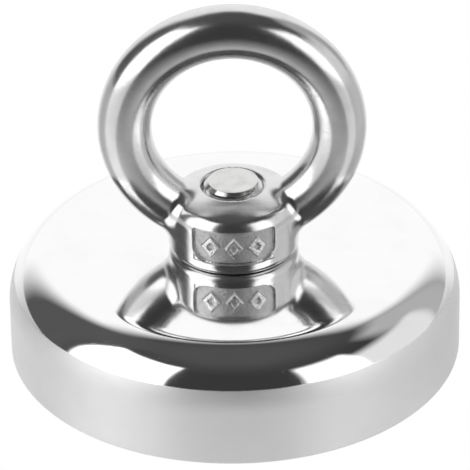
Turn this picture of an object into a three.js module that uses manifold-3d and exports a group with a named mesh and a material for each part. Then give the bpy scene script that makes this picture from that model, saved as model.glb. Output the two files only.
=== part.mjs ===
// Magnet fishing magnet: a nickel-plated steel pot that holds a neodymium ring magnet, with a stainless
// eye nut screwed onto a countersunk screw that comes up through the pot.
// Millimetres, +Z up. The origin is the centre of the pulling face, on the plane of the pot's open rim.
// The eye's ring stands in the XZ plane, so a rope runs through it along Y. The marked side faces -Y.
import * as THREE from "three";
import { mergeVertices } from "three/addons/utils/BufferGeometryUtils.js";
import Module from "manifold-3d";

// ---- driving dimensions ----
const POT_DIAMETER = 60;
const POT_HEIGHT = 15;
const POT_WALL = 4.5;
const POT_ROOF = 5.5;
const POT_EDGE_RADIUS = 7.5; // rounding between the top face and the wall
const POT_HOLE = 8.6; // clearance hole for the screw
const BUSH_DIAMETER = 18;
const RESIN_WIDTH = 1.5; // of the groove on each side of the magnet
const ADHESIVE = 0.3;
const EYE_BORE = 21; // free opening of the ring
const EYE_BAR = 7.1; // thickness of the ring's round bar
const EYE_CENTRE_HEIGHT = 18; // above the pot's top face
const BOSS_DIAMETER = 17.2;
const BOSS_FOOT_ROUND = 1;
const CROWN_HEIGHT = 9.85; // of the dome's highest point, above the pot's top face
const CROWN_RADIUS = 16; // of the domed crown
const CROWN_ROUND = 1.2; // rounding of the crown's edge
const PANEL_WIDTH = 10.8; // recessed marking panel on the boss
const PANEL_LOW = 1.8; // above the pot's top face
const PANEL_HIGH = 6.6;
const PANEL_DEPTH = 0.45;
const PANEL_CORNER = 2; // radius of its lower corners
const LOZENGE_COUNT = 3;
const LOZENGE_SPACING = 3.1;
const LOZENGE_WIDTH = 2.3;
const LOZENGE_HEIGHT = 3;
const LOZENGE_RAISED = 0.27;

// ---- M8 countersunk socket screw ----
const THREAD_PITCH = 1.25;
const THREAD_MEAN = 3.6; // mean radius of the screw's thread surface
const THREAD_SWING = 0.33; // of the thread surface on each side of its mean radius
const THREAD_CLEARANCE = 0.2; // radial, between screw and nut
const HEAD_DIAMETER = 16;
const HEAD_LAND = 0.4; // short straight edge of the head
const HEAD_RECESS = 0.3; // head below the pot's rim
const SHANK_DIAMETER = 8;
const SHANK_LENGTH = 2; // plain, under the cone
const SCREW_TIP = 24.8;
const TIP_CHAMFER = 0.75;
const SOCKET_ACROSS_FLATS = 5;
const SOCKET_DEPTH = 3;

// ---- gaps and finish ----
const SEAT_GAP = 0.05; // between faces that touch
const MAGNET_RECESS = 0.4; // below the pot's rim
const RESIN_RECESS = 0.6;
const BREAK_EDGE = 0.4; // small chamfer on turned and ground edges
const ROUND_SEGMENTS = 64;
const BAR_SEGMENTS = 20;
const THREAD_SIDES = 16;
const THREAD_ROWS = 6; // rows of points for each pitch

// ---- derived places ----
const potRadius = POT_DIAMETER / 2;
const cavityRadius = potRadius - POT_WALL;
const roofUnderside = POT_HEIGHT - POT_ROOF;
const bushRadius = BUSH_DIAMETER / 2;
const magnetInner = bushRadius + RESIN_WIDTH;
const magnetOuter = cavityRadius - RESIN_WIDTH;
const bossRadius = BOSS_DIAMETER / 2;
const bossBottom = POT_HEIGHT + SEAT_GAP;
const eyeCentreZ = POT_HEIGHT + EYE_CENTRE_HEIGHT;
const domeCentreZ = POT_HEIGHT + CROWN_HEIGHT - CROWN_RADIUS;
const domeHeight = (radius) => domeCentreZ + Math.sqrt(CROWN_RADIUS ** 2 - radius ** 2);
const crownEdgeRadius = (bossRadius - CROWN_ROUND) / (1 - CROWN_ROUND / CROWN_RADIUS);
const nutBoreRadius = THREAD_MEAN + THREAD_SWING + THREAD_CLEARANCE;
const panelFloorRadius = bossRadius - PANEL_DEPTH;

const wasm = await Module();
wasm.setup();

// A closed geometry as a manifold solid: shared vertices merged, and the slivers at a lathe's poles dropped.
function solidOf(geometry) {
  const bare = geometry.clone();
  bare.deleteAttribute("normal");
  bare.deleteAttribute("uv");
  const merged = mergeVertices(bare, 1e-4);
  const corners = merged.index.array;
  const kept = [];
  for (let i = 0; i < corners.length; i += 3) {
    const [a, b, c] = corners.slice(i, i + 3);
    if (a !== b && b !== c && a !== c) kept.push(a, b, c);
  }
  return new wasm.Manifold(
    new wasm.Mesh({
      numProp: 3,
      vertProperties: merged.attributes.position.array,
      triVerts: new Uint32Array(kept),
    }),
  );
}

function geometryOf(solid) {
  const mesh = solid.getMesh();
  const geometry = new THREE.BufferGeometry();
  geometry.setAttribute("position", new THREE.BufferAttribute(mesh.vertProperties, 3));
  geometry.setIndex(new THREE.BufferAttribute(mesh.triVerts, 1));
  geometry.computeVertexNormals();
  return geometry;
}

// A piece turned round Z from [radius, z] points that run up its outside, and down its bore if it has one.
function turned(outline, segments = ROUND_SEGMENTS) {
  const points = outline.map(([radius, z]) => new THREE.Vector2(radius, z));
  return new THREE.LatheGeometry(points, segments).rotateX(Math.PI / 2);
}

// [radius, z] points along an arc, between two angles in degrees above the horizontal.
function arc(centreRadius, centreZ, size, from, to, steps) {
  const points = [];
  for (let i = 0; i <= steps; i++) {
    const angle = THREE.MathUtils.degToRad(from + ((to - from) * i) / steps);
    points.push([centreRadius + size * Math.cos(angle), centreZ + size * Math.sin(angle)]);
  }
  return points;
}

// A turned ring of rectangular section.
function ring(inner, outer, low, high) {
  return turned([
    [inner, low],
    [outer, low],
    [outer, high],
    [inner, high],
    [inner, low],
  ]);
}

// A rod with a right-hand rounded thread: its radius is a wave that climbs one pitch for each turn.
function threadedRod(low, high, growth) {
  const rows = Math.round(((high - low) / THREAD_PITCH) * THREAD_ROWS);
  const positions = [];
  for (let row = 0; row <= rows; row++) {
    const z = low + ((high - low) * row) / rows;
    for (let side = 0; side < THREAD_SIDES; side++) {
      const turn = side / THREAD_SIDES;
      const wave = Math.cos(2 * Math.PI * (z / THREAD_PITCH - turn));
      const radius = THREAD_MEAN + growth + THREAD_SWING * wave;
      const angle = 2 * Math.PI * turn;
      positions.push(radius * Math.cos(angle), radius * Math.sin(angle), z);
    }
  }
  const index = [];
  for (let row = 0; row < rows; row++) {
    for (let side = 0; side < THREAD_SIDES; side++) {
      const next = (side + 1) % THREAD_SIDES;
      const [a, b] = [row * THREAD_SIDES + side, row * THREAD_SIDES + next];
      const [c, d] = [b + THREAD_SIDES, a + THREAD_SIDES];
      index.push(a, b, c, a, c, d);
    }
  }
  const lowCentre = positions.length / 3;
  const highCentre = lowCentre + 1;
  positions.push(0, 0, low, 0, 0, high);
  for (let side = 0; side < THREAD_SIDES; side++) {
    const next = (side + 1) % THREAD_SIDES;
    index.push(lowCentre, next, side);
    index.push(highCentre, rows * THREAD_SIDES + side, rows * THREAD_SIDES + next);
  }
  const geometry = new THREE.BufferGeometry();
  geometry.setAttribute("position", new THREE.Float32BufferAttribute(positions, 3));
  geometry.setIndex(index);
  return geometry;
}

// ---- the pieces ----

// The cup: open downwards, with a thick roof that carries the magnet's flux to the wall.
function steelPot() {
  const wallTop = POT_HEIGHT - POT_EDGE_RADIUS;
  const holeRadius = POT_HOLE / 2;
  return turned([
    [cavityRadius + BREAK_EDGE, 0],
    [potRadius - BREAK_EDGE, 0],
    [potRadius, BREAK_EDGE],
    ...arc(potRadius - POT_EDGE_RADIUS, wallTop, POT_EDGE_RADIUS, 0, 90, 10),
    [holeRadius + BREAK_EDGE, POT_HEIGHT],
    [holeRadius, POT_HEIGHT - BREAK_EDGE],
    [holeRadius, roofUnderside],
    [cavityRadius, roofUnderside],
    [cavityRadius, BREAK_EDGE],
    [cavityRadius + BREAK_EDGE, 0],
  ]);
}

// The layer that bonds the magnet to the roof of the cup.
function adhesiveBed() {
  return ring(magnetInner, magnetOuter, roofUnderside - SEAT_GAP - ADHESIVE, roofUnderside - SEAT_GAP);
}

// The axially magnetised ring, a little below the rim so that the brittle magnet never takes the knock.
function ringMagnet() {
  const high = roofUnderside - 2 * SEAT_GAP - ADHESIVE;
  return turned([
    [magnetInner + BREAK_EDGE, MAGNET_RECESS],
    [magnetOuter - BREAK_EDGE, MAGNET_RECESS],
    [magnetOuter, MAGNET_RECESS + BREAK_EDGE],
    [magnetOuter, high],
    [magnetInner, high],
    [magnetInner, MAGNET_RECESS + BREAK_EDGE],
    [magnetInner + BREAK_EDGE, MAGNET_RECESS],
  ]);
}

// Resin poured into the two round grooves beside the magnet.
function resinRing(inner, outer) {
  return ring(inner + SEAT_GAP, outer - SEAT_GAP, RESIN_RECESS, roofUnderside - SEAT_GAP);
}

// The bush that takes the screw's head: a turned steel ring with a 90 degree countersink from below.
function centreBush() {
  const boreRadius = POT_HOLE / 2;
  const low = HEAD_RECESS;
  const mouth = HEAD_DIAMETER / 2 + SEAT_GAP;
  const coneLow = low + HEAD_LAND;
  return turned([
    [mouth, low],
    [bushRadius, low],
    [bushRadius, roofUnderside - SEAT_GAP],
    [boreRadius, roofUnderside - SEAT_GAP],
    [boreRadius, coneLow + mouth - boreRadius],
    [mouth, coneLow],
    [mouth, low],
  ]);
}

// The screw: countersunk head with a hexagon socket, short plain shank, thread and chamfered tip.
function countersunkScrew() {
  const headRadius = HEAD_DIAMETER / 2;
  const shankRadius = SHANK_DIAMETER / 2;
  const threadRoot = THREAD_MEAN - THREAD_SWING;
  const coneLow = HEAD_RECESS + HEAD_LAND;
  const coneHigh = coneLow + headRadius - shankRadius;
  const shankHigh = coneHigh + SHANK_LENGTH;
  const headAndShank = turned([
    [0, HEAD_RECESS],
    [headRadius, HEAD_RECESS],
    [headRadius, coneLow],
    [shankRadius, coneHigh],
    [shankRadius, shankHigh - (shankRadius - threadRoot)],
    [threadRoot, shankHigh],
    [0, shankHigh],
  ]);
  const tipEnvelope = turned([
    [0, shankHigh - THREAD_PITCH],
    [shankRadius, shankHigh - THREAD_PITCH],
    [shankRadius, SCREW_TIP - TIP_CHAMFER],
    [shankRadius - TIP_CHAMFER, SCREW_TIP],
    [0, SCREW_TIP],
  ]);
  const thread = threadedRod(shankHigh - THREAD_PITCH / 2, SCREW_TIP + THREAD_PITCH, 0);
  const socketCorner = SOCKET_ACROSS_FLATS / Math.sqrt(3);
  const socket = new THREE.CylinderGeometry(socketCorner, socketCorner, 2 * SOCKET_DEPTH, 6);
  socket.rotateX(Math.PI / 2).translate(0, 0, HEAD_RECESS);
  return geometryOf(
    solidOf(thread).intersect(solidOf(tipEnvelope)).add(solidOf(headAndShank)).subtract(solidOf(socket)),
  );
}

// The boss of the eye nut: straight side, rounded foot, and a domed crown that turns down through a
// rounded edge. The dome and the rounding share their slope where they meet.
function boss() {
  const steepest = Math.asin(crownEdgeRadius / CROWN_RADIUS);
  const roundEnd = 90 - THREE.MathUtils.radToDeg(steepest);
  const roundCentreZ = domeHeight(crownEdgeRadius) - CROWN_ROUND * Math.cos(steepest);
  return turned([
    [0, bossBottom],
    ...arc(bossRadius - BOSS_FOOT_ROUND, bossBottom + BOSS_FOOT_ROUND, BOSS_FOOT_ROUND, -90, 0, 3),
    ...arc(bossRadius - CROWN_ROUND, roundCentreZ, CROWN_ROUND, 0, roundEnd, 3),
    ...arc(0, domeCentreZ, CROWN_RADIUS, roundEnd, 90, 5).slice(1),
  ]);
}

// An upright plate in front of the boss, cut to an outline of [x, z] points.
function plateBeforeBoss(outline) {
  const shape = new THREE.Shape(outline.map(([x, z]) => new THREE.Vector2(x, z)));
  const plate = new THREE.ExtrudeGeometry(shape, { depth: bossRadius, bevelEnabled: false });
  return plate.rotateX(Math.PI / 2);
}

// The recess of the marking panel: straight top corners, and large round ones below.
function panelOutline() {
  const half = PANEL_WIDTH / 2;
  const low = POT_HEIGHT + PANEL_LOW;
  const high = POT_HEIGHT + PANEL_HIGH;
  return [
    [-half, high],
    ...arc(-half + PANEL_CORNER, low + PANEL_CORNER, PANEL_CORNER, 180, 270, 4),
    ...arc(half - PANEL_CORNER, low + PANEL_CORNER, PANEL_CORNER, 270, 360, 4),
    [half, high],
  ];
}

function eyeNut() {
  const bar = new THREE.TorusGeometry((EYE_BORE + EYE_BAR) / 2, EYE_BAR / 2, BAR_SEGMENTS, ROUND_SEGMENTS);
  bar.rotateX(Math.PI / 2).translate(0, 0, eyeCentreZ);
  const core = (radius) =>
    solidOf(turned([[0, POT_HEIGHT], [radius, POT_HEIGHT], [radius, eyeCentreZ], [0, eyeCentreZ]]));
  let nut = solidOf(bar).add(solidOf(boss()));
  nut = nut.subtract(solidOf(plateBeforeBoss(panelOutline())).subtract(core(panelFloorRadius)));

  // Plain raised lozenges fill the panel.
  const middleZ = POT_HEIGHT + (PANEL_LOW + PANEL_HIGH) / 2;
  const raised = core(panelFloorRadius + LOZENGE_RAISED);
  for (let i = 0; i < LOZENGE_COUNT; i++) {
    const x = (i - (LOZENGE_COUNT - 1) / 2) * LOZENGE_SPACING;
    const outline = [
      [x - LOZENGE_WIDTH / 2, middleZ],
      [x, middleZ - LOZENGE_HEIGHT / 2],
      [x + LOZENGE_WIDTH / 2, middleZ],
      [x, middleZ + LOZENGE_HEIGHT / 2],
    ];
    nut = nut.add(solidOf(plateBeforeBoss(outline)).intersect(raised));
  }

  // The threaded bore, in step with the screw's thread, with a small countersink at each end.
  const top = Math.ceil(eyeCentreZ / THREAD_PITCH) * THREAD_PITCH;
  const bore = solidOf(threadedRod(POT_HEIGHT - THREAD_PITCH, top, THREAD_CLEARANCE));
  const crownAtBore = domeHeight(nutBoreRadius);
  nut = nut.subtract(bore);
  return geometryOf(nut.subtract(countersink(bossBottom, 1)).subtract(countersink(crownAtBore, -1)));
}

// A 90 degree cone that opens a bore's mouth at height z. It points inwards: 1 is up, -1 is down.
function countersink(z, inwards) {
  const size = nutBoreRadius + BREAK_EDGE;
  const cone = new THREE.ConeGeometry(size, size, 2 * THREAD_SIDES).rotateX((inwards * Math.PI) / 2);
  return solidOf(cone.translate(0, 0, z + inwards * (size / 2 - BREAK_EDGE)));
}

// ---- finishes ----
function finish(color, roughness, metalness) {
  return new THREE.MeshStandardMaterial({ color, roughness, metalness });
}
const nickel = () => finish(0xd9dadb, 0.12, 1);
const polishedStainless = () => finish(0xc9cacb, 0.1, 1);
const turnedSteel = () => finish(0xa9abad, 0.35, 1);
const resin = () => finish(0x2b2c2e, 0.45, 0);

const assembly = new THREE.Group();
const pieces = [
  ["steel_pot", steelPot(), nickel()],
  ["adhesive_bed", adhesiveBed(), finish(0x8d9296, 0.6, 0)],
  ["ring_magnet", ringMagnet(), nickel()],
  ["outer_resin_ring", resinRing(magnetOuter, cavityRadius), resin()],
  ["inner_resin_ring", resinRing(bushRadius, magnetInner), resin()],
  ["centre_bush", centreBush(), turnedSteel()],
  ["countersunk_screw", countersunkScrew(), polishedStainless()],
  ["eye_nut", eyeNut(), polishedStainless()],
];
for (const [name, geometry, material] of pieces) {
  const piece = new THREE.Mesh(geometry, material);
  piece.name = name;
  assembly.add(piece);
}

export default assembly;
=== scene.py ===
"""Magnet fishing magnet: a nickel-plated pot magnet with a stainless eye nut, as it is put together.

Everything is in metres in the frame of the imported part: +Z up, the eye's ring in the XZ plane, and the
marked side of the eye nut towards -Y. The origin is the centre of the pulling face.
"""
import math

import bmesh
import bpy
import numpy as np
from mathutils import Matrix, Vector


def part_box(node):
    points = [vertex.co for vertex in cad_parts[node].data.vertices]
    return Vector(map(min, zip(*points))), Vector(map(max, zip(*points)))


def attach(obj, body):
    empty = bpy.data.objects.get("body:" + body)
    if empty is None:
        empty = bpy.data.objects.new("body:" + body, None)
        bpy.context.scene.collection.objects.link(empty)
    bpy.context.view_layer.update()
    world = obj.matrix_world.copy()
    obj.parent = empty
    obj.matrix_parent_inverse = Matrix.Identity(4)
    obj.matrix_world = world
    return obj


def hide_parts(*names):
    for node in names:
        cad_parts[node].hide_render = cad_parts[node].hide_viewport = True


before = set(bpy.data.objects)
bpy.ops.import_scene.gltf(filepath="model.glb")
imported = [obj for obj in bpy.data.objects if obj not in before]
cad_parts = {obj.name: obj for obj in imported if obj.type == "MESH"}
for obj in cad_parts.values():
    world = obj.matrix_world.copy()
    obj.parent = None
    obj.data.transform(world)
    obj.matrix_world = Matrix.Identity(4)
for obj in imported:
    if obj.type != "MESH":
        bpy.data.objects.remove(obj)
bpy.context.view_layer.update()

# ---------------------------------------------------------------------------------------------------
# Steel pot. A cup turned from thick mild steel, whose roof and wall lead the magnet's flux to the rim.
# It is nickel plated, buffed to a mirror on the top face and over the shoulder, and left satin from the
# lathe on the wall. The rim is ground flat on a surface grinder once everything is potted inside.
# ---------------------------------------------------------------------------------------------------
MM = 0.001
TURNED_SIDES = 256
ARC_STEP = math.radians(2.5)  # between points of a large rounding
SMALL_ARC_STEPS = 8  # along a rounding of a millimetre or less
GUARD = 0.12 * MM  # of extra points beside a rounding, which keep the flats flat when shaded smooth
SHOULDER_ROUNDING = 7.5 * MM
WALL_THICKNESS = 4.5 * MM
CAVITY_ROUNDING = 0.6 * MM  # left by the boring tool in the corner of the cup
SCREW_HOLE_RADIUS = 4.3 * MM
EDGE_ROUNDING = 0.35 * MM
SEAT_GAP = 0.05 * MM  # between faces that touch
WELD_DISTANCE = 1e-7
POLISH_LINE_MM = 10.8  # height on the shoulder where the buffing stops and the satin wall begins

pot_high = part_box("steel_pot")[1]
pot_radius = pot_high.x
pot_top = pot_high.z
cavity_radius = pot_radius - WALL_THICKNESS
roof_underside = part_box("adhesive_bed")[1].z + SEAT_GAP


class Wire:
    """One output socket in a node tree. Arithmetic on wires adds Math nodes to the tree."""

    def __init__(self, tree, socket=None):
        self.tree = tree
        self.socket = socket

    def node(self, kind, settings=None, sockets=None, output=0):
        """Adds a node, its settings first and then values or wires on its inputs. Gives one output."""
        made = self.tree.nodes.new(kind)
        for name, value in (settings or {}).items():
            setattr(made, name, value)
        for key, value in (sockets or {}).items():
            target = pick(made.inputs, key)
            if isinstance(value, Wire):
                self.tree.links.new(value.socket, target)
            else:
                target.default_value = value
        return Wire(self.tree, pick(made.outputs, output)) if len(made.outputs) else None

    def other(self, output):
        """Another output of the node that this wire leaves."""
        return Wire(self.tree, pick(self.socket.node.outputs, output))

    def maths(self, operation, *values):
        """A Math node on this wire, and on more values where the operation takes them."""
        return self.node("ShaderNodeMath", {"operation": operation}, dict(enumerate([self, *values])))

    def __add__(self, value):
        return self.maths("ADD", value)

    __radd__ = __add__

    def __sub__(self, value):
        return self.maths("SUBTRACT", value)

    def __rsub__(self, value):
        return self.node("ShaderNodeMath", {"operation": "SUBTRACT"}, {0: value, 1: self})

    def __mul__(self, value):
        return self.maths("MULTIPLY", value)

    __rmul__ = __mul__

    def __truediv__(self, value):
        return self.maths("DIVIDE", value)

    def __rtruediv__(self, value):
        return self.node("ShaderNodeMath", {"operation": "DIVIDE"}, {0: value, 1: self})


def pick(sockets, key):
    """A socket by its number, or the one in use that has this name."""
    if isinstance(key, int):
        return sockets[key]
    return next(s for s in sockets if s.enabled and s.name == key)


def along(place, axis):
    """The X, Y or Z of a place."""
    return place.node("ShaderNodeSeparateXYZ", {}, {"Vector": place}, axis)


def nodes_for_piece(name, inputs):
    """A new Geometry Nodes tree with these named inputs. Gives its geometry wire."""
    tree = bpy.data.node_groups.new(name, "GeometryNodeTree")
    tree.interface.new_socket("Geometry", in_out="INPUT", socket_type="NodeSocketGeometry")
    for label, kind in inputs.items():
        tree.interface.new_socket(label, in_out="INPUT", socket_type="NodeSocket" + kind)
    tree.interface.new_socket("Finish", in_out="INPUT", socket_type="NodeSocketMaterial")
    tree.interface.new_socket("Geometry", in_out="OUTPUT", socket_type="NodeSocketGeometry")
    return Wire(tree).node("NodeGroupInput", output="Geometry")


def end_of_piece(given, geometry):
    """Ends a tree: real geometry, not instances, in the piece's finish."""
    real = geometry.node("GeometryNodeRealizeInstances", {}, {"Geometry": geometry})
    dressed = real.node(
        "GeometryNodeSetMaterial", {}, {"Geometry": real, "Material": given.other("Finish")}
    )
    dressed.node("NodeGroupOutput", {}, {"Geometry": dressed})
    return dressed.tree


def plain_mesh(piece):
    """Makes the piece's modifiers part of its mesh."""
    graph = bpy.context.evaluated_depsgraph_get()
    result = bpy.data.meshes.new_from_object(piece.evaluated_get(graph))
    worn = piece.data
    piece.modifiers.clear()
    piece.data = result
    bpy.data.meshes.remove(worn)
    result.name = piece.name
    return piece


def run_nodes(name, points, tree, values, finish):
    """A piece made by a Geometry Nodes tree from a row of points."""
    mesh = bpy.data.meshes.new(name)
    mesh.from_pydata([tuple(p) for p in points], [], [])
    piece = bpy.data.objects.new(name, mesh)
    bpy.context.scene.collection.objects.link(piece)
    modifier = piece.modifiers.new("make", "NODES")
    modifier.node_group = tree
    for item in tree.interface.items_tree:
        if item.in_out == "INPUT" and item.name in values:
            modifier[item.identifier] = values[item.name]
        if item.in_out == "INPUT" and item.name == "Finish":
            modifier[item.identifier] = finish
    return plain_mesh(piece)


def sheet_to_wrap(given, sides, rows):
    """A grid of points to wrap round Z, and each point's column and row in it."""
    sheet = given.node("GeometryNodeMeshGrid", {}, {"Vertices X": sides + 1, "Vertices Y": rows}, "Mesh")
    index = given.node("GeometryNodeInputIndex")
    column = ((index + 0.5) / rows).maths("FLOOR")
    return sheet, column, index - column * rows


def wrapped(sheet, radius, angle, height):
    """The sheet with its points at these places round Z, closed where its edges meet."""
    place = sheet.node(
        "ShaderNodeCombineXYZ",
        {},
        {"X": radius * angle.maths("COSINE"), "Y": radius * angle.maths("SINE"), "Z": height},
    )
    skin = sheet.node("GeometryNodeSetPosition", {}, {"Geometry": sheet, "Position": place})
    return skin.node("GeometryNodeMergeByDistance", {}, {"Geometry": skin, "Distance": WELD_DISTANCE})


def turning_tree():
    """Turns a row of (radius, 0, height) points round Z, as a lathe does."""
    given = nodes_for_piece("turn on lathe", {"Sides": "Int"})
    sides = given.other("Sides")
    rows = given.node(
        "GeometryNodeAttributeDomainSize", {"component": "MESH"}, {"Geometry": given}, "Point Count"
    )
    sheet, column, row = sheet_to_wrap(given, sides, rows)
    profile = given.node(
        "GeometryNodeSampleIndex",
        {"data_type": "FLOAT_VECTOR", "domain": "POINT"},
        {"Geometry": given, "Value": given.node("GeometryNodeInputPosition"), "Index": row},
    )
    radius = along(profile, "X")
    skin = wrapped(sheet, radius, column / sides * (2 * math.pi), along(profile, "Z"))
    return end_of_piece(given, skin.node("GeometryNodeSetShadeSmooth", {}, {"Geometry": skin}))


turn_on_lathe = turning_tree()


def rounded_outline(corners):
    """Points round an outline given as (radius, height, rounding) corners, anticlockwise.

    It closes on itself, unless it starts and ends on the axis.
    """
    arcs = []
    for i, (radius, height, rounding) in enumerate(corners):
        corner = Vector((radius, height))
        back = (Vector(corners[i - 1][:2]) - corner).normalized()
        ahead = (Vector(corners[(i + 1) % len(corners)][:2]) - corner).normalized()
        if rounding == 0:
            arcs.append([corner])
            continue
        half = back.angle(ahead) / 2
        centre = corner + (back + ahead).normalized() * rounding / math.sin(half)
        first = corner + back * rounding / math.tan(half) - centre
        last = corner + ahead * rounding / math.tan(half) - centre
        sweep = math.pi - 2 * half
        steps = math.ceil(sweep / ARC_STEP) if rounding > MM else SMALL_ARC_STEPS
        arcs.append(
            [
                centre
                + (first * math.sin(sweep * (1 - k / steps)) + last * math.sin(sweep * k / steps))
                / math.sin(sweep)
                for k in range(steps + 1)
            ]
        )
    closed = corners[0][0] > 0
    points = []
    for arc, following in zip(arcs, arcs[1:] + arcs[:1]):
        points += arc
        gap = following[0] - arc[-1]
        if (closed or following is not arcs[0]) and gap.length > 3 * GUARD:
            points.append(arc[-1] + gap.normalized() * GUARD)
            points.append(following[0] - gap.normalized() * GUARD)
    if closed:
        points.append(points[0])
    return [(p.x, 0, p.y) for p in points]


def turned(name, corners, finish, sides=TURNED_SIDES):
    """A piece turned on a lathe from (radius, height, rounding) corners."""
    return run_nodes(name, rounded_outline(corners), turn_on_lathe, {"Sides": sides}, finish)


def start_finish(name):
    """A new material: its first wire, and its place on the piece in millimetres."""
    material = bpy.data.materials.new(name)
    material.use_nodes = True
    material.node_tree.nodes.clear()
    metres = Wire(material.node_tree).node("ShaderNodeTexCoord", output="Object")
    place = metres.node("ShaderNodeVectorMath", {"operation": "SCALE"}, {0: metres, "Scale": 1 / MM})
    return material, place


def shade(place, sockets):
    """Ends a material in one Principled surface."""
    surface = place.node("ShaderNodeBsdfPrincipled", {}, sockets)
    surface.node("ShaderNodeOutputMaterial", {}, {"Surface": surface})


def stretched(place, x, y, z):
    """The place with each axis scaled, so that a pattern on it is drawn out along the small ones."""
    return place.node("ShaderNodeVectorMath", {"operation": "MULTIPLY"}, {0: place, 1: (x, y, z)})


def noise(place, scale, detail=2.0, roughness=0.5):
    """Even noise of about 0.5, with this many features in a millimetre."""
    sockets = {"Vector": place, "Scale": scale, "Detail": detail, "Roughness": roughness}
    return place.node("ShaderNodeTexNoise", {}, sockets, "Fac")


def between(value, low, high, at_low=0.0, at_high=1.0):
    """A smooth step from one level to another, as the value goes from low to high."""
    sockets = {"Value": value, "From Min": low, "From Max": high, "To Min": at_low, "To Max": at_high}
    return value.node("ShaderNodeMapRange", {"interpolation_type": "SMOOTHSTEP"}, sockets, "Result")


def off_axis(place):
    """How far a place is from the Z axis."""
    x, y = along(place, "X"), along(place, "Y")
    return (x * x + y * y).maths("SQRT")


def tinted(tone, green=1.0, blue=1.0):
    """A grey of this tone, with its green and blue made a little stronger or weaker."""
    return tone.node("ShaderNodeCombineColor", {}, {"Red": tone, "Green": tone * green, "Blue": tone * blue})


def bumped(height, depth_mm, under=None):
    """The normal of a surface raised by height times this depth."""
    sockets = {"Height": height, "Distance": depth_mm * MM}
    if under is not None:
        sockets["Normal"] = under
    return height.node("ShaderNodeBump", {}, sockets)


def scratches(place, turn, spacing, share):
    """Thin straight scratches in one direction, from 0 to 1. A larger share leaves fewer of them."""
    turned_place = place.node(
        "ShaderNodeMapping", {}, {"Vector": place, "Rotation": (0, 0, math.radians(turn))}
    )
    streaks = noise(stretched(turned_place, 0.12, 1.0, 0.4), spacing, 1.0)
    return between(streaks, share, share + 0.06)


def nickel_plate():
    """Nickel on the pot: mirror on top, satin lathe lines on the wall, ground lines across the rim."""
    material, place = start_finish("nickel_plate")
    z = along(place, "Z")
    satin = between(z, POLISH_LINE_MM - 0.12, POLISH_LINE_MM + 0.12, 1.0, 0.0)
    rim = between(z, 0.01, 0.06, 1.0, 0.0)
    lathe_lines = noise(stretched(place, 0.02, 0.02, 1.0), 16.0, 2.0, 0.6)
    grinding = noise(stretched(place, 0.04, 1.0, 1.0), 8.0, 3.0, 0.7)
    smudges = noise(place, 0.16, 3.0)
    hairlines = scratches(place, 24, 1.6, 0.7) + scratches(place, -51, 1.3, 0.72)
    polished = 0.06 + 0.04 * between(smudges, 0.45, 0.75) + 0.05 * hairlines
    turned_wall = 0.42 + 0.12 * lathe_lines
    ground_rim = 0.2 + 0.25 * grinding
    roughness = polished + satin * (turned_wall - polished)
    roughness = roughness + rim * (ground_rim - roughness)
    ripple = noise(place, 0.35, 1.0)
    fine = satin * (1 - rim) * lathe_lines + rim * grinding
    tone = 0.93 - 0.03 * between(smudges, 0.4, 0.8) - satin * 0.05 * lathe_lines - rim * 0.1 * grinding
    metal = 1 - 0.2 * satin * (1 - rim)
    normal = bumped(fine, 0.0008, bumped(ripple, 0.0035))
    colour = tinted(tone, 1.0, 1.003)
    shade(place, {"Base Color": colour, "Metallic": metal, "Roughness": roughness, "Normal": normal})
    return material


steel_pot = turned(
    "steel_pot_fine",
    [
        (cavity_radius, 0, EDGE_ROUNDING),
        (pot_radius, 0, EDGE_ROUNDING),
        (pot_radius, pot_top, SHOULDER_ROUNDING),
        (SCREW_HOLE_RADIUS, pot_top, EDGE_ROUNDING),
        (SCREW_HOLE_RADIUS, roof_underside, 0.1 * MM),
        (cavity_radius, roof_underside, CAVITY_ROUNDING),
    ],
    nickel_plate(),
)
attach(steel_pot, "pot")
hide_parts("steel_pot")

# ---------------------------------------------------------------------------------------------------
# Centre bush. A turned mild steel ring under the roof, which closes the magnetic circuit in the middle.
# Its 90 degree countersink takes the screw's head, so the pull of the rope goes into the pot.
# ---------------------------------------------------------------------------------------------------
bush_low, bush_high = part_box("centre_bush")
screw_low, screw_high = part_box("countersunk_screw")
head_radius = screw_high.x
HEAD_LAND = 0.4 * MM  # height of the straight edge round the screw's head
BUSH_EDGE = 0.2 * MM
mouth_radius = head_radius + SEAT_GAP
cone_low = bush_low.z + HEAD_LAND


def turned_steel():
    """Bare turned steel: fine rings left by the tool on the end face, with a little dulling."""
    material, place = start_finish("turned_steel")
    rings = place.node("ShaderNodeCombineXYZ", {}, {"X": off_axis(place), "Z": along(place, "Z") * 0.6})
    tool_marks = noise(rings, 7.0, 2.0, 0.6)
    dulling = noise(place, 0.8, 4.0, 0.6)
    tone = 0.62 - 0.12 * tool_marks - 0.14 * between(dulling, 0.45, 0.8)
    colour = tinted(tone, 0.995, 0.98)
    roughness = 0.24 + 0.14 * tool_marks + 0.14 * dulling
    normal = bumped(tool_marks, 0.004)
    shade(place, {"Base Color": colour, "Metallic": 1.0, "Roughness": roughness, "Normal": normal})
    return material


centre_bush = turned(
    "centre_bush_fine",
    [
        (mouth_radius, bush_low.z, 0.06 * MM),
        (bush_high.x, bush_low.z, BUSH_EDGE),
        (bush_high.x, bush_high.z, BUSH_EDGE),
        (SCREW_HOLE_RADIUS, bush_high.z, 0.15 * MM),
        (SCREW_HOLE_RADIUS, cone_low + mouth_radius - SCREW_HOLE_RADIUS, 0.15 * MM),
        (mouth_radius, cone_low, 0.1 * MM),
    ],
    turned_steel(),
)
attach(centre_bush, "pot")
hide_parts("centre_bush")

# ---------------------------------------------------------------------------------------------------
# Adhesive bed. The layer of grey structural adhesive that bonds the magnet to the roof of the pot. The
# modelled layer itself is shown, in cured adhesive.
# ---------------------------------------------------------------------------------------------------


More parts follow.
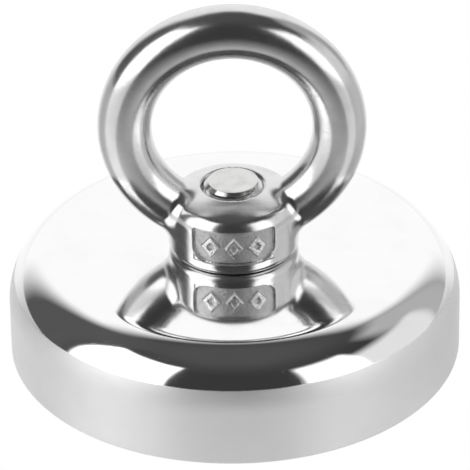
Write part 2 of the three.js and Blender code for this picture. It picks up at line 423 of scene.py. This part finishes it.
def cured_adhesive():
    """Grey filled adhesive: matt, mottled and slightly lumpy."""
    material, place = start_finish("adhesive")
    mottling = noise(place, 0.7, 4.0, 0.6)
    grains = noise(place, 5.0, 2.0)
    tone = 0.13 + 0.1 * mottling + 0.04 * grains
    colour = tinted(tone, 1.03, 1.08)
    roughness = 0.5 + 0.2 * grains
    normal = bumped(mottling + 0.3 * grains, 0.03)
    shade(place, {"Base Color": colour, "Roughness": roughness, "Normal": normal})
    return material


adhesive_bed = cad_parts["adhesive_bed"]
adhesive_bed.data.materials.clear()
adhesive_bed.data.materials.append(cured_adhesive())

# ---------------------------------------------------------------------------------------------------
# Ring magnet. Pressed and sintered neodymium-iron-boron, ground all over, tumbled so that its edges are
# round, and plated with nickel. It is glued in a little below the rim.
# ---------------------------------------------------------------------------------------------------
magnet_low, magnet_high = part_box("ring_magnet")
inner_ring_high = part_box("inner_resin_ring")[1]
magnet_inner = inner_ring_high.x + SEAT_GAP
MAGNET_EDGE = 0.4 * MM


def magnet_plate():
    """Bright nickel over ground sinter: a faint orange peel, and scuffs from what it has picked up."""
    material, place = start_finish("magnet_plate")
    peel = noise(place, 2.2, 3.0, 0.6)
    scuffs = scratches(place, 12, 1.1, 0.62) + scratches(place, 70, 1.4, 0.64)
    scuffs = scuffs + scratches(place, -35, 0.8, 0.6)
    haze = between(noise(place, 0.25, 4.0), 0.42, 0.7)
    tone = 0.78 - 0.08 * haze - 0.1 * scuffs
    colour = tinted(tone, 0.995, 0.985)
    roughness = 0.1 + 0.12 * haze + 0.16 * scuffs
    normal = bumped(peel, 0.006, bumped(scuffs, 0.002))
    shade(place, {"Base Color": colour, "Metallic": 1.0, "Roughness": roughness, "Normal": normal})
    return material


ring_magnet = turned(
    "ring_magnet_fine",
    [
        (magnet_inner, magnet_low.z, MAGNET_EDGE),
        (magnet_high.x, magnet_low.z, MAGNET_EDGE),
        (magnet_high.x, magnet_high.z, MAGNET_EDGE),
        (magnet_inner, magnet_high.z, MAGNET_EDGE),
    ],
    magnet_plate(),
)
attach(ring_magnet, "pot")
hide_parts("ring_magnet")

# ---------------------------------------------------------------------------------------------------
# Resin rings. Black epoxy poured into the two grooves beside the magnet, with the pot upside down. It
# creeps up both walls before it sets, so its face is a shallow hollow.
# ---------------------------------------------------------------------------------------------------
MENISCUS_DEPTH = 0.22 * MM
MENISCUS_STEPS = 12


def black_resin():
    """Cast black epoxy: glossy, a little wavy, with a few dust specks and pinholes."""
    material, place = start_finish("resin")
    waves = noise(place, 0.5, 2.0)
    specks = between(noise(place, 3.4, 2.0), 0.7, 0.78)
    tone = 0.012 + 0.03 * specks
    colour = tinted(tone, 1.0, 1.1)
    roughness = 0.16 + 0.12 * waves + 0.3 * specks
    normal = bumped(waves - 0.4 * specks, 0.03)
    shade(place, {"Base Color": colour, "Roughness": roughness, "Normal": normal})
    return material


def resin_ring(name, node, inner, finish):
    """A ring of resin whose open face hangs in a shallow hollow between its two walls."""
    low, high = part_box(node)
    middle = (inner + high.x) / 2
    half = (high.x - inner) / 2
    face = []
    for k in range(MENISCUS_STEPS + 1):
        across = -1 + 2 * k / MENISCUS_STEPS
        face.append((middle + half * across, low.z + MENISCUS_DEPTH * (1 - across**2), 0))
    piece = turned(name, face + [(high.x, high.z, 0), (inner, high.z, 0)], finish)
    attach(piece, "pot")
    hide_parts(node)


resin = black_resin()
resin_ring("outer_resin_ring_fine", "outer_resin_ring", magnet_high.x + SEAT_GAP, resin)
resin_ring("inner_resin_ring_fine", "inner_resin_ring", bush_high.x + SEAT_GAP, resin)

# ---------------------------------------------------------------------------------------------------
# Countersunk screw. An M8 stainless socket screw, cold headed with a hexagon socket and thread rolled.
# It goes in from the pulling face, and its chamfered end stands just proud of the eye nut's crown.
# ---------------------------------------------------------------------------------------------------
PITCH = 1.25 * MM
PITCH_RADIUS = 3.59 * MM  # where the thread's ridge and groove are equally wide
CREST_RADIUS = 3.95 * MM
ROOT_RADIUS = 3.33 * MM
FLANK_SLOPE = 1 / math.tan(math.radians(30))  # rise for each unit along a 60 degree thread
THREAD_SIDES = 96
ROWS_IN_PITCH = 16
SHANK_RADIUS = 4 * MM
SHANK_LENGTH = 2 * MM
TIP_CHAMFER = 0.75 * MM
SOCKET_ACROSS_FLATS = 5 * MM
SOCKET_DEPTH = 3 * MM
SOCKET_LEAD_IN = 0.2 * MM

cone_high = cone_low + head_radius - SHANK_RADIUS
shank_high = cone_high + SHANK_LENGTH
tip = screw_high.z


def thread_tree():
    """Winds a V thread round Z. Points past either end draw in to the axis, which closes the ends."""
    sizes = dict.fromkeys(
        ["Pitch", "Pitch radius", "Crest radius", "Root radius", "Flank slope", "Low", "High"], "Float"
    )
    given = nodes_for_piece("wind thread", sizes | {"Sides": "Int", "Rows in pitch": "Int"})
    pitch, low, high = (given.other(name) for name in ["Pitch", "Low", "High"])
    sides, rows_in_pitch = given.other("Sides"), given.other("Rows in pitch")
    length = (high - low) / pitch
    turns = length.maths("CEIL") + 3
    sheet, column, row = sheet_to_wrap(given, sides, turns * rows_in_pitch + 1)
    # Height in pitches. A whole number of them, less the turn, is a crest.
    first_turn = (low / pitch).maths("FLOOR") - 1
    climb = first_turn + row / rows_in_pitch + column / sides
    phase = row / rows_in_pitch
    from_crest = (phase - phase.maths("ROUND")).maths("ABSOLUTE")
    ridge = given.other("Pitch radius") + (0.25 - from_crest) * pitch * given.other("Flank slope")
    radius = ridge.maths("MINIMUM", given.other("Crest radius")).maths("MAXIMUM", given.other("Root radius"))
    height = climb * pitch
    inside = height.maths("GREATER_THAN", low) * height.maths("LESS_THAN", high)
    level = height.maths("MINIMUM", high).maths("MAXIMUM", low)
    skin = wrapped(sheet, inside * radius, column / sides * (2 * math.pi), level)
    return end_of_piece(given, skin)


wind_thread = thread_tree()


def threaded_rod(name, low, high, growth, finish):
    """A rod of M8 thread, larger all over by the growth."""
    values = {
        "Pitch": PITCH,
        "Pitch radius": PITCH_RADIUS + growth,
        "Crest radius": CREST_RADIUS + growth,
        "Root radius": ROOT_RADIUS + growth,
        "Flank slope": FLANK_SLOPE,
        "Low": low,
        "High": high,
        "Sides": THREAD_SIDES,
        "Rows in pitch": ROWS_IN_PITCH,
    }
    return run_nodes(name, [(0, 0, 0)], wind_thread, values, finish)


def worked(piece, tool, operation):
    """The piece joined with, cut by or kept within a tool, which is then put away."""
    modifier = piece.modifiers.new("work", "BOOLEAN")
    modifier.operation = operation
    modifier.solver = "MANIFOLD"
    modifier.object = tool
    plain_mesh(piece)
    worn = tool.data
    bpy.data.objects.remove(tool)
    bpy.data.meshes.remove(worn)
    return piece


def smooth_to_edges(piece, angle):
    """Shades a piece smooth, except across edges sharper than this angle in degrees."""
    piece.data.shade_smooth()
    piece.data.set_sharp_from_angle(angle=math.radians(angle))


def screw_stainless():
    """Bright cold-headed stainless, with a satin cut face at the end and turning rings on the head."""
    material, place = start_finish("screw_stainless")
    end_face = between(along(place, "Z"), tip / MM - 0.06, tip / MM - 0.02)
    rings = noise(place.node("ShaderNodeCombineXYZ", {}, {"X": off_axis(place)}), 6.0, 2.0)
    grain = noise(place, 4.0, 3.0, 0.6)
    rubbed = between(noise(place, 0.7, 3.0), 0.4, 0.7)
    tone = 0.74 - 0.05 * rubbed - 0.04 * rings + end_face * 0.1
    colour = tinted(tone, 0.997, 0.99)
    roughness = 0.16 + 0.06 * rubbed + end_face * (0.2 + 0.1 * grain)
    normal = bumped(grain, 0.004, bumped(rings, 0.003))
    shade(place, {"Base Color": colour, "Metallic": 1.0, "Roughness": roughness, "Normal": normal})
    return material


stainless_screw = screw_stainless()
screw = threaded_rod("countersunk_screw_fine", shank_high - PITCH / 2, tip + PITCH, 0, stainless_screw)
tip_shape = turned(
    "tip_shape",
    [
        (0, shank_high - PITCH, 0),
        (SHANK_RADIUS, shank_high - PITCH, 0),
        (SHANK_RADIUS, tip - TIP_CHAMFER, 0.1 * MM),
        (SHANK_RADIUS - TIP_CHAMFER, tip, 0.12 * MM),
        (0, tip, 0),
    ],
    stainless_screw,
    THREAD_SIDES,
)
worked(screw, tip_shape, "INTERSECT")
head = turned(
    "head",
    [
        (0, screw_low.z, 0),
        (head_radius, screw_low.z, 0.12 * MM),
        (head_radius, cone_low, 0.1 * MM),
        (SHANK_RADIUS, cone_high, 0.3 * MM),
        (SHANK_RADIUS, shank_high - (SHANK_RADIUS - ROOT_RADIUS), 0.1 * MM),
        (ROOT_RADIUS - 0.05 * MM, shank_high, 0.05 * MM),
        (0, shank_high, 0),
    ],
    stainless_screw,
    2 * THREAD_SIDES,
)
worked(screw, head, "UNION")
socket_corner = SOCKET_ACROSS_FLATS / math.sqrt(3)
socket_floor = screw_low.z + SOCKET_DEPTH
tool_low = -MM  # how far below the origin the socket's tools start
socket = turned(
    "socket",
    [
        (0, tool_low, 0),
        (socket_corner, tool_low, 0),
        (socket_corner, socket_floor, 0),
        (0, socket_floor + socket_corner / 2, 0),
    ],
    stainless_screw,
    6,
)
worked(screw, socket, "DIFFERENCE")
lead_in_tip = screw_low.z + socket_corner + SOCKET_LEAD_IN
lead_in = turned(
    "lead_in",
    [
        (0, tool_low, 0),
        (lead_in_tip - tool_low, tool_low, 0),
        (0, lead_in_tip, 0),
    ],
    stainless_screw,
    THREAD_SIDES,
)
worked(screw, lead_in, "DIFFERENCE")
smooth_to_edges(screw, 24)
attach(screw, "screw")
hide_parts("countersunk_screw")

# ---------------------------------------------------------------------------------------------------
# Eye nut. Cast in stainless steel as one piece, a round bar ring on a domed boss with a marking panel in
# its front, then ground, tumbled and polished, and tapped M8 through the boss.
# ---------------------------------------------------------------------------------------------------
nut_low, nut_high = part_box("eye_nut")
EYE_BORE = 21 * MM
BOSS_RADIUS = 8.6 * MM
FOOT_ROUNDING = 1.0 * MM
CROWN_HEIGHT = 9.85 * MM  # of the dome's highest point, above the pot
CROWN_RADIUS = 16 * MM
CROWN_ROUNDING = 1.2 * MM
NECK_FILLET = 1.2 * MM  # cast radius where the ring runs into the boss
PANEL_WIDTH = 10.8 * MM
PANEL_LOW = 1.8 * MM  # above the pot
PANEL_HIGH = 6.6 * MM
PANEL_DEPTH = 0.45 * MM
PANEL_TOP_CORNER = 0.5 * MM
PANEL_LOW_CORNER = 2 * MM
PANEL_RIM_ROUNDING = 0.16 * MM
LOZENGE_COUNT = 3
LOZENGE_SPACING = 3.1 * MM
LOZENGE_WIDTH = 2.3 * MM
LOZENGE_HEIGHT = 3 * MM
LOZENGE_RAISED = 0.27 * MM
LOZENGE_STROKE = 0.5 * MM
LOZENGE_ROUNDING = 0.1 * MM
NUT_CLEARANCE = 0.14 * MM  # radial, of the nut's thread over the screw's
PILOT_RADIUS = 3.2 * MM  # of the plain hole, before the thread is cut
MOUTH_CHAMFER = 0.4 * MM
MOUTH_ROUNDING = 0.1 * MM
RING_STEPS = 128
BAR_STEPS = 48
CAST_GRID = 0.26 * MM  # size of the faces, before those beside the panel and the mouths are halved
RELAXING_ROUNDS = 24
SKIN_TOLERANCE = 0.002 * MM
NUT_EDGE_ANGLE = 30  # degrees, past which an edge is shaded sharp
NORMAL_TOLERANCE = 25  # degrees between the mesh's own normal and the exact one that takes its place

eye_radius = nut_high.x
bar_radius = (eye_radius - EYE_BORE / 2) / 2
ring_radius = eye_radius - bar_radius
eye_centre = nut_high.z - eye_radius
dome_centre = pot_top + CROWN_HEIGHT - CROWN_RADIUS
bore_radius = CREST_RADIUS + NUT_CLEARANCE
crown_at_bore = dome_centre + math.sqrt(CROWN_RADIUS**2 - bore_radius**2)
panel_floor = BOSS_RADIUS - PANEL_DEPTH


def ring_tree():
    """Bends a round bar into a ring that stands in the XZ plane."""
    sizes = dict.fromkeys(["Ring radius", "Bar radius", "Height"], "Float")
    given = nodes_for_piece("bend ring", sizes)
    ring = given.node(
        "GeometryNodeCurvePrimitiveCircle",
        {"mode": "RADIUS"},
        {"Resolution": RING_STEPS, "Radius": given.other("Ring radius")},
        "Curve",
    )
    bar = given.node(
        "GeometryNodeCurvePrimitiveCircle",
        {"mode": "RADIUS"},
        {"Resolution": BAR_STEPS, "Radius": given.other("Bar radius")},
        "Curve",
    )
    skin = given.node("GeometryNodeCurveToMesh", {}, {"Curve": ring, "Profile Curve": bar}, "Mesh")
    lift = given.node("ShaderNodeCombineXYZ", {}, {"Z": given.other("Height")})
    stood = given.node(
        "GeometryNodeTransform",
        {},
        {"Geometry": skin, "Translation": lift, "Rotation": (math.pi / 2, 0, 0)},
        "Geometry",
    )
    return end_of_piece(given, stood)


def rounded_meet(a, b, rounding):
    """The distance to what two shapes share, with a rounding where their skins cross."""
    return (
        np.hypot(np.maximum(a + rounding, 0), np.maximum(b + rounding, 0))
        + np.minimum(np.maximum(a + rounding, b + rounding), 0)
        - rounding
    )


def filleted_join(a, b, fillet):
    """The distance to two shapes together, with a fillet where their skins cross."""
    return np.maximum(fillet, np.minimum(a, b)) - np.hypot(
        np.maximum(fillet - a, 0), np.maximum(fillet - b, 0)
    )


def panel_distance(x, z):
    """The distance to the marking panel's outline: square at the top, and well rounded below."""
    middle = pot_top + (PANEL_LOW + PANEL_HIGH) / 2
    corner = np.where(z > middle, PANEL_TOP_CORNER, PANEL_LOW_CORNER)
    beside = np.abs(x) - PANEL_WIDTH / 2 + corner
    beyond = np.abs(z - middle) - (PANEL_HIGH - PANEL_LOW) / 2 + corner
    return (
        np.hypot(np.maximum(beside, 0), np.maximum(beyond, 0))
        + np.minimum(np.maximum(beside, beyond), 0)
        - corner
    )


def lozenge_distance(x, z):
    """The distance to the strokes of the row of hollow lozenges."""
    half_width = LOZENGE_WIDTH / 2
    half_height = LOZENGE_HEIGHT / 2
    middle = pot_top + (PANEL_LOW + PANEL_HIGH) / 2
    nearest = np.full(len(x), 1.0)
    for i in range(LOZENGE_COUNT):
        centre = (i - (LOZENGE_COUNT - 1) / 2) * LOZENGE_SPACING
        outward = np.abs(x - centre) / half_width + np.abs(z - middle) / half_height - 1
        outward = outward * half_width * half_height / math.hypot(half_width, half_height)
        # The stroke lies just inside the lozenge's outline, and its middle is left hollow.
        stroke = np.abs(outward + LOZENGE_STROKE / 2) - LOZENGE_STROKE / 2
        nearest = np.minimum(nearest, stroke)
    return nearest


def nut_distance(points):
    """The distance from points to the skin of the cast nut, negative inside."""
    x, y, z = points.T
    out = np.hypot(x, y)
    # The ring's bar, and the turned boss with its domed crown.
    bar = np.hypot(np.hypot(x, z - eye_centre) - ring_radius, y) - bar_radius
    dome = np.hypot(out, z - dome_centre) - CROWN_RADIUS
    body = rounded_meet(out - BOSS_RADIUS, dome, CROWN_ROUNDING)
    body = rounded_meet(body, nut_low.z - z, FOOT_ROUNDING)
    nut = filleted_join(bar, body, NECK_FILLET)
    # The recessed panel in front, and the raised lozenges on its floor.
    recess = rounded_meet(np.maximum(panel_distance(x, z), y), panel_floor - out, PANEL_RIM_ROUNDING)
    nut = rounded_meet(nut, -recess, PANEL_RIM_ROUNDING)
    strokes = rounded_meet(
        np.maximum(lozenge_distance(x, z), y), out - panel_floor - LOZENGE_RAISED, LOZENGE_ROUNDING
    )
    nut = np.where(y < 0, filleted_join(nut, strokes, LOZENGE_ROUNDING), nut)
    # The chamfered mouths of the bore, and the pilot hole, which stops inside the opening of the ring.
    mouth = bore_radius + MOUTH_CHAMFER
    top_cone = (out - mouth + crown_at_bore - z) / math.sqrt(2)
    top_cone = np.maximum(top_cone, z - crown_at_bore - 2 * MOUTH_CHAMFER)
    foot_cone = (out - mouth + z - nut_low.z) / math.sqrt(2)
    nut = rounded_meet(nut, -top_cone, MOUTH_ROUNDING)
    nut = rounded_meet(nut, -foot_cone, MOUTH_ROUNDING)
    hole = np.maximum(out - PILOT_RADIUS, z - eye_centre)
    return np.maximum(nut, -hole)


def nut_slope(points):
    """How the distance grows along each axis. On the skin this points straight out."""
    step = 1e-4 * MM
    slope = np.empty_like(points)
    for axis in range(3):
        ahead, behind = points.copy(), points.copy()
        ahead[:, axis] += step
        behind[:, axis] -= step
        slope[:, axis] = (nut_distance(ahead) - nut_distance(behind)) / (2 * step)
    return slope


def onto_skin(points, rounds=3):
    """Moves points straight onto the skin."""
    for _ in range(rounds):
        slope = nut_slope(points)
        # The distance is gentler inside roundings, so the step is longer there, within a limit.
        steepness = np.maximum((slope * slope).sum(1), 0.25)
        points = points - slope * (nut_distance(points) / steepness)[:, None]
    return points


def relaxed(points, edges):
    """Evens out a mesh on the skin, without moving it off the skin."""
    count = len(points)
    neighbours = np.bincount(edges.ravel(), minlength=count)
    for _ in range(RELAXING_ROUNDS):
        middle = np.empty_like(points)
        for axis in range(3):
            values = points[:, axis]
            total = np.bincount(edges[:, 0], values[edges[:, 1]], count)
            total += np.bincount(edges[:, 1], values[edges[:, 0]], count)
            middle[:, axis] = total / neighbours
        slope = nut_slope(points)
        slope /= np.linalg.norm(slope, axis=1, keepdims=True)
        move = (middle - points) / 2
        move -= slope * (move * slope).sum(1, keepdims=True)
        points = onto_skin(points + move, 1)
    return onto_skin(points)


def refine(mesh, wanted):
    """Halves the faces whose corners are all wanted."""
    work = bmesh.new()
    work.from_mesh(mesh)
    edges = [e for e in work.edges if wanted(e.verts[0].co) and wanted(e.verts[1].co)]
    bmesh.ops.subdivide_edges(work, edges=edges, cuts=1, use_grid_fill=True)
    bmesh.ops.triangulate(work, faces=[f for f in work.faces if len(f.verts) > 4])
    work.to_mesh(mesh)
    work.free()


def beside_panel(point, margin):
    """Whether a point on the front of the boss is in the marking panel, or this near to it."""
    across = abs(point.x) < PANEL_WIDTH / 2 + margin
    upright = pot_top + PANEL_LOW - margin < point.z < pot_top + PANEL_HIGH + margin
    in_front = point.y < 0 and math.hypot(point.x, point.y) > panel_floor - margin
    return across and upright and in_front


def beside_mouth(point):
    """Whether a point is in or beside a mouth of the bore."""
    return math.hypot(point.x, point.y) < bore_radius + MOUTH_CHAMFER + 0.5 * MM


def cast_nut(finish):
    """The nut as it leaves the foundry and the polisher, before it is tapped."""
    ring_sizes = {"Ring radius": ring_radius, "Bar radius": bar_radius, "Height": eye_centre}
    nut = run_nodes("eye_nut_fine", [(0, 0, 0)], ring_tree(), ring_sizes, finish)
    crown_edge = dome_centre + math.sqrt(CROWN_RADIUS**2 - BOSS_RADIUS**2)
    blank = [
        (0, nut_low.z, 0),
        (BOSS_RADIUS, nut_low.z, FOOT_ROUNDING),
        (BOSS_RADIUS, crown_edge, CROWN_ROUNDING),
        (0, pot_top + CROWN_HEIGHT, 0),
    ]
    worked(nut, turned("blank", blank, finish, 128), "UNION")
    hole = [
        (0, pot_top - MM, 0),
        (PILOT_RADIUS, pot_top - MM, 0),
        (PILOT_RADIUS, eye_centre, 0),
        (0, eye_centre, 0),
    ]
    worked(nut, turned("hole", hole, finish, 64), "DIFFERENCE")
    remesh = nut.modifiers.new("cast", "REMESH")
    remesh.mode = "VOXEL"
    remesh.voxel_size = CAST_GRID
    plain_mesh(nut)
    refine(nut.data, lambda point: beside_panel(point, 0.7 * MM) or beside_mouth(point))
    refine(nut.data, lambda point: beside_panel(point, 0.35 * MM))
    points = np.empty(len(nut.data.vertices) * 3)
    nut.data.vertices.foreach_get("co", points)
    edges = np.empty(len(nut.data.edges) * 2, int)
    nut.data.edges.foreach_get("vertices", edges)
    points = relaxed(onto_skin(points.reshape(-1, 3)), edges.reshape(-1, 2))
    nut.data.vertices.foreach_set("co", points.ravel())
    nut.data.update()
    nut.data.materials.clear()
    nut.data.materials.append(finish)
    return nut


def true_normals(nut):
    """Gives the cast skin its exact normals, for clean reflections, and leaves the thread's own."""
    mesh = nut.data
    smooth_to_edges(nut, NUT_EDGE_ANGLE)
    points = np.empty(len(mesh.vertices) * 3)
    mesh.vertices.foreach_get("co", points)
    points = points.reshape(-1, 3)
    normals = np.empty(len(mesh.loops) * 3)
    mesh.corner_normals.foreach_get("vector", normals)
    normals = normals.reshape(-1, 3)
    corners = np.empty(len(mesh.loops), int)
    mesh.loops.foreach_get("vertex_index", corners)
    slope = nut_slope(points)
    slope /= np.linalg.norm(slope, axis=1, keepdims=True)
    on_skin = np.abs(nut_distance(points)) < SKIN_TOLERANCE
    agree = (normals * slope[corners]).sum(1) > math.cos(math.radians(NORMAL_TOLERANCE))
    exact = on_skin[corners] & agree
    normals[exact] = slope[corners][exact]
    mesh.normals_split_custom_set(normals)


def polished_stainless():
    """Tumbled and polished cast stainless, softly waved and pitted, with cast grain in the panel."""
    material, place = start_finish("polished_stainless")
    side = PANEL_WIDTH / 2 / MM
    low = (pot_top + PANEL_LOW) / MM
    high = (pot_top + PANEL_HIGH) / MM
    floor_radius = panel_floor / MM
    z = along(place, "Z")
    in_front = between(along(place, "Y"), -3.0, -2.0, 1.0, 0.0)
    across = between(along(place, "X").maths("ABSOLUTE"), side - 0.25, side - 0.05, 1.0, 0.0)
    upright = between(z, low + 0.05, low + 0.25) * between(z, high - 0.25, high - 0.05, 1.0, 0.0)
    panel = in_front * across * upright
    raised = panel * between(off_axis(place), floor_radius + 0.05, floor_radius + 0.2)
    waves = noise(place, 0.45, 2.0)
    haze = between(noise(place, 0.3, 3.0), 0.4, 0.75)
    hairlines = scratches(place, 33, 1.9, 0.68) + scratches(place, -62, 1.6, 0.7)
    grain = noise(place, 3.0, 3.0, 0.7)
    pitting = noise(place, 3.5, 3.0, 0.7)
    tone = 0.74 - 0.05 * haze - 0.03 * hairlines - panel * 0.3 * grain + raised * 0.25
    roughness = 0.19 + 0.05 * haze + 0.04 * hairlines + (panel - raised) * (0.1 + 0.2 * grain)
    normal = bumped(panel * grain, 0.12, bumped(waves, 0.02, bumped(pitting, 0.004)))
    colour = tinted(tone)
    shade(place, {"Base Color": colour, "Metallic": 1.0, "Roughness": roughness, "Normal": normal})
    return material


polished = polished_stainless()
eye_nut = cast_nut(polished)
tap = threaded_rod("tap", pot_top - PITCH, eye_centre - MM, NUT_CLEARANCE, polished)
worked(eye_nut, tap, "DIFFERENCE")
true_normals(eye_nut)
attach(eye_nut, "eye")
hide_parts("eye_nut")

# ---------------------------------------------------------------------------------------------------
# Floor. A pale glossy table top: plain white to the camera, while the metal sees a painted glow on it,
# a pool of painted light that is brightest at the back and fades to the front. It stops under the rim,
# where the pot hides its edge, and it is clear from below.
# ---------------------------------------------------------------------------------------------------
FLOOR_REACH = 4.0
FLOOR_HOLE = 29 * MM
FLOOR_SIDES = 96
FLOOR_GLOSS = 0.3  # share of the light that it mirrors
FADES_FROM_MM = 50
WHITE = (1, 1, 1, 1)


def window(value, low, high, edge):
    """1 between two levels, with soft edges."""
    return between(value, low - edge, low + edge) * between(value, high - edge, high + edge, 1.0, 0.0)


def azimuth_of(place):
    """The direction of a place round Z, in degrees: 0 at the front, and positive to the right."""
    return along(place, "X").maths("ARCTAN2", 0 - along(place, "Y")) * math.degrees(1)


def floor_light():
    """White to the camera; to the metal, a glossy table with a painted glow, a pool of painted light."""
    material, place = start_finish("floor")
    azimuth = azimuth_of(place)
    aside = azimuth.maths("ABSOLUTE")
    # Painted light: the table's glow is brighter at the left and back, dimmer at the right, and fades with
    # distance towards the front.
    painted_light = 0.74 + 0.1 * window(azimuth, -100, -30, 12.0) - 0.14 * window(azimuth, 60, 120, 15.0)
    painted_light = painted_light + 0.3 * between(aside, 105, 140)
    painted_falloff = (FADES_FROM_MM / off_axis(place)).maths("MINIMUM", 1.0)
    front = between(aside, 15, 100, 1.0, 0.1)
    brightness = painted_light * (1 - front * (1 - painted_falloff))
    white = place.node("ShaderNodeEmission", {}, {"Color": WHITE, "Strength": 1.0})
    painted_glow = place.node("ShaderNodeEmission", {}, {"Color": WHITE, "Strength": brightness})
    gloss = place.node("ShaderNodeBsdfGlossy", {}, {"Color": WHITE, "Roughness": 0.2})
    table = place.node("ShaderNodeMixShader", {}, {0: FLOOR_GLOSS, 1: painted_glow, 2: gloss})
    to_camera = place.node("ShaderNodeLightPath", output="Is Camera Ray")
    from_above = place.node("ShaderNodeMixShader", {}, {0: to_camera, 1: table, 2: white})
    below = place.node("ShaderNodeNewGeometry", output="Backfacing")
    clear = place.node("ShaderNodeBsdfTransparent")
    shown = place.node("ShaderNodeMixShader", {}, {0: below, 1: from_above, 2: clear})
    shown.node("ShaderNodeOutputMaterial", {}, {"Surface": shown})
    return material


floor_edges = [(FLOOR_REACH, 0, 0), (FLOOR_HOLE, 0, 0)]
floor = run_nodes("floor", floor_edges, turn_on_lathe, {"Sides": FLOOR_SIDES}, floor_light())

# ---------------------------------------------------------------------------------------------------
# Studio. A pale back wall, two tall softboxes in front at the left and right, a white card and a grey
# wall at the right, and a dark room overhead and behind the camera. None of it moves with the camera.
# ---------------------------------------------------------------------------------------------------


def studio_light():
    """Light by direction. Azimuth is 0 at the front and positive to the right; both are in degrees."""
    world = bpy.data.worlds.new("studio")
    world.use_nodes = True
    world.node_tree.nodes.clear()
    towards = Wire(world.node_tree).node("ShaderNodeTexCoord", output="Generated")
    azimuth = azimuth_of(towards)
    elevation = along(towards, "Z").maths("ARCSINE") * math.degrees(1)
    aside = azimuth.maths("ABSOLUTE")
    back_wall = between(aside, 122, 150) * between(elevation, 50, 66, 1.0, 0.0)
    left_box = window(azimuth, -88, -36, 1.5) * window(elevation, -3, 56, 2.0)
    right_box = window(azimuth, 35, 68, 3.0) * window(elevation, -3, 48, 4.0)
    right_card = window(azimuth, 62, 118, 8.0) * window(elevation, -6, 38, 7.0)
    right_wall = window(azimuth, 96, 140, 12.0) * window(elevation, -6, 56, 6.0)
    left_wall = window(azimuth, -140, -90, 8.0) * between(elevation, 50, 75, 1.0, 0.0)
    room = 0.042 + 0.04 * between(elevation, 45, 80)
    light = room + 0.05 * left_wall
    for lamp, brightness in [(right_wall, 0.45), (right_card, 0.8), (back_wall, 1.04)]:
        light = light.maths("MAXIMUM", lamp * brightness)
    light = light + 1.7 * left_box + 1.5 * right_box
    below = between(elevation, -12, -4, 1.0, 0.0)
    table = 0.35 + 0.4 * window(azimuth, -120, -20, 20.0) + 0.25 * between(elevation, -80, -20)
    light = light + below * (table - light)
    to_camera = towards.node("ShaderNodeLightPath", output="Is Camera Ray")
    strength = to_camera + (1 - to_camera) * light
    sky = towards.node("ShaderNodeBackground", {}, {"Color": WHITE, "Strength": strength})
    sky.node("ShaderNodeOutputWorld", {}, {"Surface": sky})
    return world


bpy.context.scene.world = studio_light()
bpy.context.scene.view_settings.view_transform = "Standard"

# ---------------------------------------------------------------------------------------------------
# Camera. A long lens in front of the marked side, raised about a third of the way from level to overhead.
# ---------------------------------------------------------------------------------------------------
CAMERA_ANGLE = math.radians(31.3)
CAMERA_DISTANCE = 0.6
CAMERA_ROLL = math.radians(-0.88)
LENS_MM = 347
SENSOR_MM = 36
LOOKED_AT = Vector((0.17, 0, 16.34)) * MM

lens = bpy.data.cameras.new("camera")
lens.lens = LENS_MM
lens.sensor_width = SENSOR_MM
lens.clip_start = 0.01
lens.clip_end = 20
camera = bpy.data.objects.new("camera", lens)
bpy.context.scene.collection.objects.link(camera)
camera.matrix_world = (
    Matrix.Translation(LOOKED_AT)
    @ Matrix.Rotation(math.pi / 2 - CAMERA_ANGLE, 4, "X")
    @ Matrix.Translation((0, 0, CAMERA_DISTANCE))
    @ Matrix.Rotation(CAMERA_ROLL, 4, "Z")
)
bpy.context.scene.camera = camera
